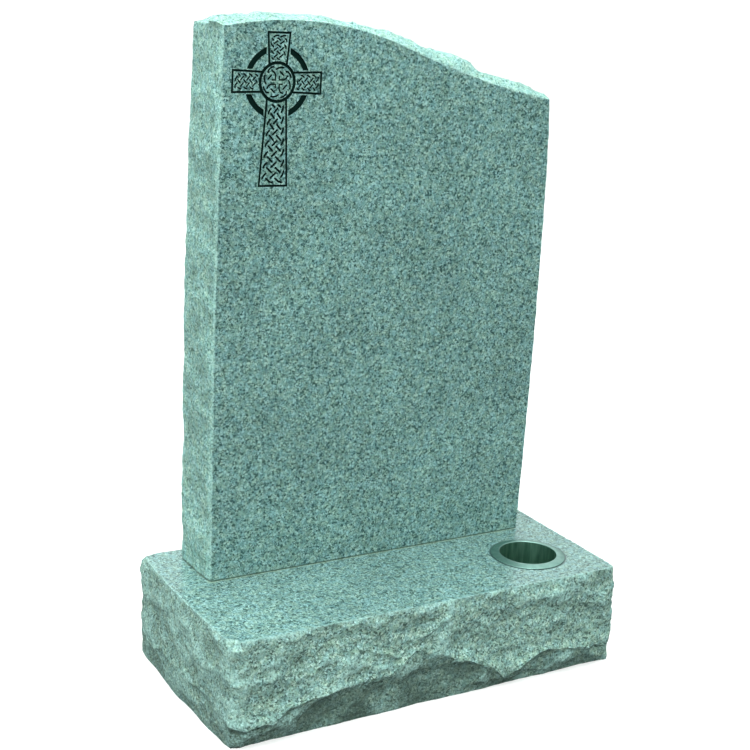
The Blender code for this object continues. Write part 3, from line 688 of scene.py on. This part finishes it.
# The Celtic cross is sandblasted into the face through a stencil and its strokes are painted
# black: a boss, four arms filled with plaited strands, and four quarters of a wheel behind them.
CROSS_FROM_LEFT, CROSS_BELOW_PEAK, CROSS_TILT = 0.0915, 0.0935, math.radians(-0.8)
CROSS_AT = Vector((CROSS_FROM_LEFT - TABLET_WIDTH / 2, FACE_Y,
                   TABLET_FOOT + PEAK_HEIGHT - CROSS_BELOW_PEAK))
WHEEL_OUTER, WHEEL_INNER, WHEEL_GAP = 0.0552, 0.0463, 0.0014
BOSS_RADIUS, BOSS_LINE, BOSS_KNOT_LINE = 0.0313, 0.0048, 0.0028
FRAME_LINE, FRAME_BORDER = 0.0033, 0.0014
WHEEL_CUT, FRAME_CUT, KNOT_CUT, CUT_CLEAR = 0.0030, 0.0025, 0.0020, 0.0020
ARMS = (
    {"turn": -math.pi / 2, "reach": 0.1595, "root": 0.036, "end": 0.051, "pitch": 0.0165,
     "lean": -1, "phase": 1, "line": 0.0033},
    {"turn": 0.0, "reach": 0.0764, "root": 0.033, "end": 0.036, "pitch": 0.0100,
     "lean": -1, "phase": 0, "line": 0.0025},
    {"turn": math.pi / 2, "reach": 0.0752, "root": 0.033, "end": 0.0405, "pitch": 0.0100,
     "lean": 1, "phase": 0, "line": 0.0026},
    {"turn": math.pi, "reach": 0.0764, "root": 0.033, "end": 0.036, "pitch": 0.0100,
     "lean": -1, "phase": 0, "line": 0.0025},
)
# Paths of the strokes of a plait: (share of a row along the arm, share of the room across it).
# Inner ones run from STROKE_START to STROKE_END, and the last row's go on to LAST_STROKE_END
TO_BORDER = ((-0.48, 0.62), (-0.10, 0.84), (0.30, 0.97), (0.80, 1.00))
FROM_BORDER = ((-1.00, 1.00), (-0.55, 0.98), (-0.05, 0.88), (0.50, 0.68))
STROKE_START, STROKE_END, LAST_STROKE_END, STRAND_APART, STRAND_LEAN = -0.58, 0.58, 0.85, 0.84, 0.54
# In widths of a stroke: room kept before the arm's end, gaps between points, least length, and
# room kept round the boss
BEFORE_END, POINTS_APART, SHORTEST, ROUND_BOSS = 1.6, 0.4, 1.8, 0.8
# Strokes of the knot inside the boss, for one quarter, as shares of the boss's radius
BOSS_KNOT = (((0.10, 0.32), (0.10, 0.11), (0.33, 0.11), (0.48, 0.19), (0.55, 0.35)),
             ((0.10, 0.53), (0.24, 0.41), (0.36, 0.30)),
             ((-0.12, 0.58), (0.02, 0.67), (0.20, 0.71), (0.36, 0.68)),
             ((0.40, 0.52), (0.56, 0.50), (0.68, 0.38), (0.75, 0.20)))

black_paint, tree, shader = new_finish("black stone paint")
patchy = mottle(tree, add(tree, "ShaderNodeTexCoord")["Object"], 900.0, 3.0)
feed(tree, shader, {
    "Specular IOR Level": 0.06,
    "Base Color": lay_over(tree, ramp(tree, patchy, 0.55, 0.80), (0.001, 0.010, 0.008, 1),
                           (0.010, 0.034, 0.028, 1)),
    "Roughness": spread(tree, patchy, 0.35, 0.75),
    "Normal": add(tree, "ShaderNodeBump", {"Height": patchy, "Distance": 0.0002})["Normal"]})


def arc(radius, start, end, steps):
    """Points along an arc round the middle of the cross."""
    turns = [start + (end - start) * step / steps for step in range(steps + 1)]
    return [Vector((radius * math.cos(turn), radius * math.sin(turn))) for turn in turns]


def turned(points, angle):
    """The points turned round the middle of the cross."""
    return [Matrix.Rotation(angle, 2) @ point for point in points]


def stroke(points, width):
    """Closed outline of a line of one width with pointed ends."""
    left, right = [], []
    for k, point in enumerate(points):
        way = (points[min(k + 1, len(points) - 1)] - points[max(k - 1, 0)]).normalized()
        across = Vector((-way.y, way.x)) * width / 2
        if k in (0, len(points) - 1):
            point = point - way * width * (0.4 if k else -0.4)
        left.append(point + across)
        right.append(point - across)
    return [points[0]] + right + [points[-1]] + left[::-1]


def arm_half_width(arm, along):
    """Half the width of an arm, so far along it from the middle of the cross."""
    share = (along - BOSS_RADIUS) / (arm["reach"] - BOSS_RADIUS)
    return (arm["root"] + (arm["end"] - arm["root"]) * share) / 2


def arm_frame(arm):
    """The line round an arm, which starts and ends on the boss's ring."""
    ring = BOSS_RADIUS - BOSS_LINE / 2
    outer_root = arm_half_width(arm, ring)
    inner_root, inner_reach = outer_root - FRAME_LINE, arm["reach"] - FRAME_LINE
    inner_end = arm_half_width(arm, inner_reach) - FRAME_LINE
    outer_start = math.sqrt(ring ** 2 - outer_root ** 2)
    inner_start = math.sqrt(ring ** 2 - inner_root ** 2)
    line = [(outer_start, -outer_root), (arm["reach"], -arm["end"] / 2),
            (arm["reach"], arm["end"] / 2), (outer_start, outer_root),
            (inner_start, inner_root), (inner_reach, inner_end),
            (inner_reach, -inner_end), (inner_start, -inner_root)]
    return turned([Vector(point) for point in line], arm["turn"])


def plait(arm):
    """Dark gaps of a plait: each follows the strand that lies over its neighbours there."""
    wide, step = arm["line"], arm["pitch"] / 2
    inset = FRAME_LINE + FRAME_BORDER + wide / 2
    start, end = BOSS_RADIUS + FRAME_BORDER + wide / 2, arm["reach"] - inset
    last = round((end - start) / step)
    outlines = []
    for row in range(last + 1):
        full = (row + arm["phase"]) % 2 == 0
        lean = arm["lean"] if full else -arm["lean"]
        furthest = end if row == last else end - BEFORE_END * wide
        tail = LAST_STROKE_END if row == last else STROKE_END
        for column in (-1, 0, 1) if full else (-0.5, 0.5):
            path = [(share, STRAND_APART * column + STRAND_LEAN * share * lean)
                    for share in (STROKE_START, -0.2, 0.2, tail)]
            if abs(column) == 1:
                path = [(share, column * across) for share, across in (
                    TO_BORDER if column == lean else FROM_BORDER)]
            points = []
            for share, across in path:
                along = held(start + (row + share) * step, start, furthest)
                room = arm_half_width(arm, along) - inset
                point = Vector((along, held(across, -1, 1) * room))
                if not points or (point - points[-1]).length > POINTS_APART * wide:
                    points.append(point)
            length = (points[-1] - points[0]).length
            near = min(point.length for point in points)
            if length >= SHORTEST * wide and near >= BOSS_RADIUS + ROUND_BOSS * wide:
                outlines.append(turned(stroke(points, wide), arm["turn"]))
    return outlines


wheel = []
for before, after in zip(ARMS, ARMS[1:] + ARMS[:1]):
    near = arm_half_width(before, WHEEL_OUTER) + WHEEL_GAP
    far = arm_half_width(after, WHEEL_OUTER) + WHEEL_GAP
    outer, inner = [arc(radius, math.asin(near / radius), math.pi / 2 - math.asin(far / radius), 24)
                    for radius in (WHEEL_OUTER, WHEEL_INNER)]
    wheel.append(turned(outer + inner[::-1], before["turn"]))
boss_ring = [arc(radius, 0, math.tau * 95 / 96, 95)
             for radius in (BOSS_RADIUS, BOSS_RADIUS - BOSS_LINE)]
frames = [arm_frame(arm) for arm in ARMS]
plaits = [line for arm in ARMS for line in plait(arm)]
for quarter in range(4):
    for line in BOSS_KNOT:
        points = [Vector(point) * BOSS_RADIUS for point in line]
        plaits.append(turned(stroke(points, BOSS_KNOT_LINE), quarter * math.pi / 2))


def stencil(name, outlines, depth):
    """A cutter for one depth of blasting: its outlines stand on the face and reach into it."""
    curve = bpy.data.curves.new(name, "CURVE")
    curve.dimensions = "2D"
    curve.fill_mode = "BOTH"
    curve.extrude = (depth + CUT_CLEAR) / 2
    for line in outlines:
        spline = curve.splines.new("POLY")
        spline.points.add(len(line) - 1)
        for point, corner in zip(spline.points, line):
            point.co = (corner.x, corner.y, 0, 1)
        spline.use_cyclic_u = True
    flat = bpy.data.objects.new(name, curve)
    bpy.context.scene.collection.objects.link(flat)
    bpy.context.view_layer.update()
    evaluated = flat.evaluated_get(bpy.context.evaluated_depsgraph_get())
    mesh = bpy.data.meshes.new_from_object(evaluated)
    bpy.data.objects.remove(flat)
    bm = bmesh.new()
    bm.from_mesh(mesh)
    bmesh.ops.remove_doubles(bm, verts=bm.verts, dist=0.00001)
    bm.to_mesh(mesh)
    bm.free()
    cutter = set_down(name, mesh, [black_paint])
    cutter.matrix_world = (Matrix.Translation(CROSS_AT + Vector((0, (depth - CUT_CLEAR) / 2, 0)))
                           @ Matrix.Rotation(math.pi / 2, 4, "X")
                           @ Matrix.Rotation(CROSS_TILT, 4, "Z"))
    return cutter


carve(tablet, [stencil("wheel_stencil", wheel + boss_ring, WHEEL_CUT),
               stencil("frame_stencil", frames, FRAME_CUT),
               stencil("plait_stencil", plaits, KNOT_CUT)])
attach(tablet, "root")
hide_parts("tablet")


# The flower container is spun from sheet metal: a straight cup with a rounded foot and a domed
# flange, which rests on the base round the hole. It lifts out by hand.
MOUTH_RADIUS, FOOT_RADIUS, FLANGE_RADIUS = 0.0500, 0.0475, 0.0656
FLANGE_RISE, RIM_THICKNESS, CONTAINER_DEPTH, CONTAINER_WALL = 0.0040, 0.0010, 0.108, 0.0015
FOOT_ROUNDING, LIP_ROUNDING = 0.006, 0.0011
TURNS, FOOT_STEPS, LIP_STEPS, FLANGE_STEPS, RIM_STEPS = 96, 8, 6, 8, 4

spun_metal, tree, shader = new_finish("satin spun metal")
here = add(tree, "ShaderNodeTexCoord")["Object"]
outward = move(tree, "MULTIPLY", here, (1, 1, 0))
from_axis = add(tree, "ShaderNodeVectorMath", {0: outward}, operation="LENGTH")[1]
height = add(tree, "ShaderNodeSeparateXYZ", {0: here})["Z"]
travel = reckon(tree, "SUBTRACT", from_axis, height)
tool_lines = add(tree, "ShaderNodeTexNoise", {"W": travel, "Scale": 2200.0, "Detail": 2.0},
                 noise_dimensions="1D")["Fac"]
stains = mottle(tree, here, 90.0, 5.0)
feed(tree, shader, {
    "Metallic": 1.0,
    "Base Color": lay_over(tree, ramp(tree, stains, 0.40, 0.72), (0.28, 0.46, 0.41, 1),
                           (0.20, 0.36, 0.32, 1)),
    "Roughness": spread(tree, stains, 0.24, 0.50),
    "Normal": add(tree, "ShaderNodeBump", {"Height": tool_lines, "Strength": 0.5,
                                           "Distance": 0.00005})["Normal"]})
# The inside is a darker, greener metal than the outside: painted shade in the deep cup
shade_painted_inside, tree, shader = new_finish("inside of the cup, with painted shade")
here = add(tree, "ShaderNodeTexCoord")["Object"]
streaks = mottle(tree, move(tree, "MULTIPLY", here, (1, 1, 0.12)), 160.0, 4.0)
feed(tree, shader, {
    "Metallic": 1.0,
    "Base Color": lay_over(tree, ramp(tree, streaks, 0.35, 0.70), (0.13, 0.29, 0.22, 1),
                           (0.26, 0.47, 0.37, 1)),
    "Roughness": spread(tree, streaks, 0.30, 0.50)})

# Half its section as (distance from the axis, height), up the inside, over the lip, out along the
# flange, round its rim, back under it and down the outside
cup_floor = CONTAINER_WALL - CONTAINER_DEPTH
section = []
for step in range(FOOT_STEPS + 1):
    turn = math.pi / 2 * step / FOOT_STEPS
    section.append((FOOT_RADIUS - FOOT_ROUNDING * (1 - math.sin(turn)),
                    cup_floor + FOOT_ROUNDING * (1 - math.cos(turn))))
inside_bands = len(section)
crest = MOUTH_RADIUS + LIP_ROUNDING
for step in range(LIP_STEPS + 1):
    turn = math.pi / 2 * step / LIP_STEPS
    section.append((crest - LIP_ROUNDING * math.cos(turn),
                    FLANGE_RISE - LIP_ROUNDING * (1 - math.sin(turn))))
under = []
for step in range(1, FLANGE_STEPS + 1):
    share = 0.9 * step / FLANGE_STEPS
    reach = crest + (FLANGE_RADIUS - crest) * share
    drop = (FLANGE_RISE - RIM_THICKNESS - JOINT) * (1 - math.cos(math.pi / 2 * share))
    section.append((reach, FLANGE_RISE - drop))
    under.append((reach, max(FLANGE_RISE - drop - CONTAINER_WALL, JOINT)))
for step in range(RIM_STEPS + 1):
    turn = math.pi * step / RIM_STEPS
    section.append((FLANGE_RADIUS - RIM_THICKNESS / 2 * (1 - math.sin(turn)),
                    JOINT + RIM_THICKNESS / 2 * (1 + math.cos(turn))))
section += under[:5][::-1] + [(MOUTH_RADIUS + CONTAINER_WALL, FLANGE_RISE - 2 * CONTAINER_WALL)]
rounding = FOOT_ROUNDING + CONTAINER_WALL
for step in range(FOOT_STEPS, -1, -1):
    turn = math.pi / 2 * step / FOOT_STEPS
    section.append((FOOT_RADIUS + CONTAINER_WALL - rounding * (1 - math.sin(turn)),
                    rounding * (1 - math.cos(turn)) - CONTAINER_DEPTH))
bm = bmesh.new()
loops = []
for reach, rise in section:
    turns = [math.tau * turn / TURNS for turn in range(TURNS)]
    loops.append([bm.verts.new((reach * math.cos(turn), reach * math.sin(turn), rise))
                  for turn in turns])
bm.faces.new(loops[0]).material_index = 1
bm.faces.new(reversed(loops[-1]))
for band, (lower, upper) in enumerate(zip(loops, loops[1:])):
    for turn in range(TURNS):
        after = (turn + 1) % TURNS
        face = bm.faces.new((lower[turn], upper[turn], upper[after], lower[after]))
        face.material_index = 1 if band < inside_bands else 0
bmesh.ops.recalc_face_normals(bm, faces=bm.faces)
cup_mesh = settle(bm, "spun_container")
cup_mesh.shade_smooth()
cup_mesh.set_sharp_from_angle(angle=math.radians(50))
cup = set_down("spun_container", cup_mesh, [spun_metal, shade_painted_inside])
cup.location = HOLE_AT
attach(cup, "root")
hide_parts("flower_container")
